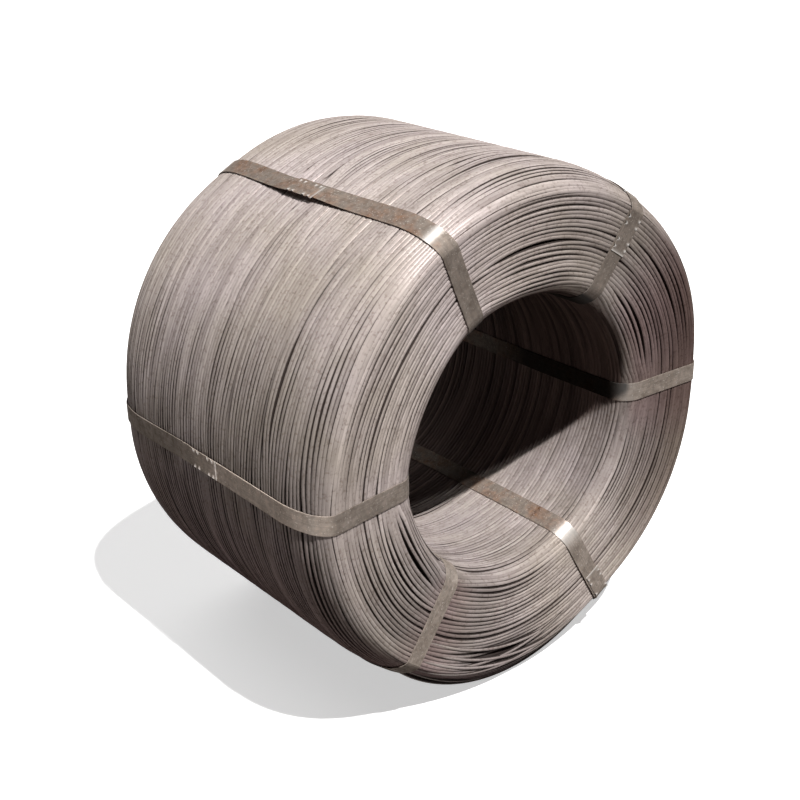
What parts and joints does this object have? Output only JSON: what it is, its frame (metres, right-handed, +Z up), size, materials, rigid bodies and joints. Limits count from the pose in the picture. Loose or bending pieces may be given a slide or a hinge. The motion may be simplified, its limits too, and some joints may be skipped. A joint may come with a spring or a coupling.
{
  "type": "coil of steel wire",
  "caption": "Heavy coil of plain drawn steel wire, layer wound with an open bore and rounded ends, lying on its side and bound by flat steel straps that pass through the bore.",
  "frame": {"origin": "on the floor under the middle of the coil, which lies on its side", "axes": "+Z up; +Y along the coil's bore and away from its front face; +X to the right of a viewer who faces the front"},
  "size_m": [0.512, 0.3352, 0.5098],
  "materials": {
    "wire": "plain drawn steel wire, dull grey with a thin brown bloom",
    "strap": "flat steel strapping, dark olive brown with rust specks and bright bends"
  },
  "bodies": {
    "root": {"wire_coil": "wire", "strap_1": "strap", "strap_2": "strap", "strap_3": "strap", "strap_4": "strap", "strap_5": "strap", "strap_6": "strap"}
  },
  "joints": []
}
